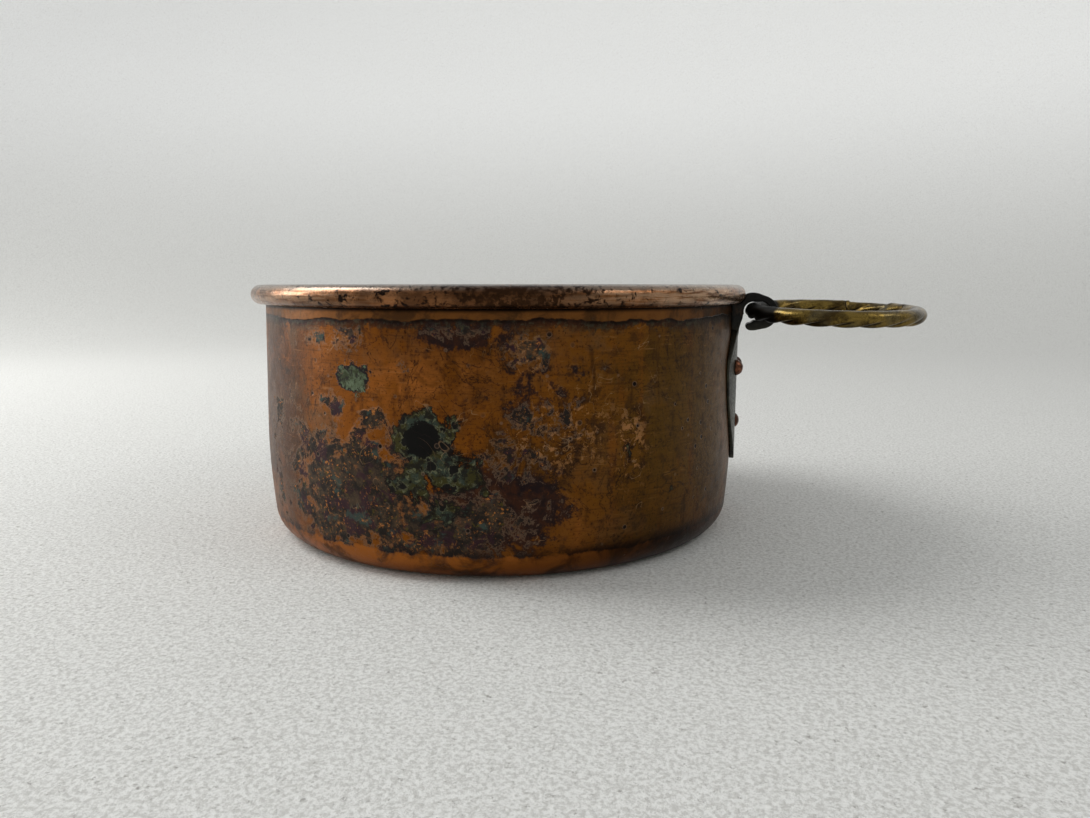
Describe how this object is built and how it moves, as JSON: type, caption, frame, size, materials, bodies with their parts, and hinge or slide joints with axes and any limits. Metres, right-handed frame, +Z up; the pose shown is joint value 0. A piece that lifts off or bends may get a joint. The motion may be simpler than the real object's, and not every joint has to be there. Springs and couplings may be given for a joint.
{
  "type": "mixing bowl",
  "caption": "Round straight-sided copper mixing bowl with a wired rim, a riveted iron leaf bracket and a twisted brass hanging ring.",
  "frame": {"origin": "centre of the flat base, on the bowl's axis, in the plane it stands on", "axes": "+Z up along the bowl's axis, +X from the axis towards the hanging ring, +Y by the right-hand rule"},
  "size_m": [0.2946, 0.2208, 0.1065],
  "materials": {
    "copper": "aged, stained copper, worn satin",
    "iron": "blackened forged iron, dull",
    "wire": "plain iron wire, sealed in the rim",
    "rivet_copper": "hammered copper, handled",
    "ring_brass": "aged brass, worn bright on top"
  },
  "bodies": {
    "bowl": {"bowl_shell": "copper", "rim_wire": "wire", "ring_bracket": "iron", "rivet_upper_front": "rivet_copper", "rivet_upper_back": "rivet_copper", "rivet_lower": "rivet_copper"},
    "ring": {"hanging_ring": "ring_brass"}
  },
  "joints": [
    {"name": "ring_swing", "type": "hinge", "parent": "bowl", "child": "ring", "pos_m": [0.1138, 0, 0.0952], "axis": [0, 1, 0], "range_deg": [-95, 91]}
  ]
}
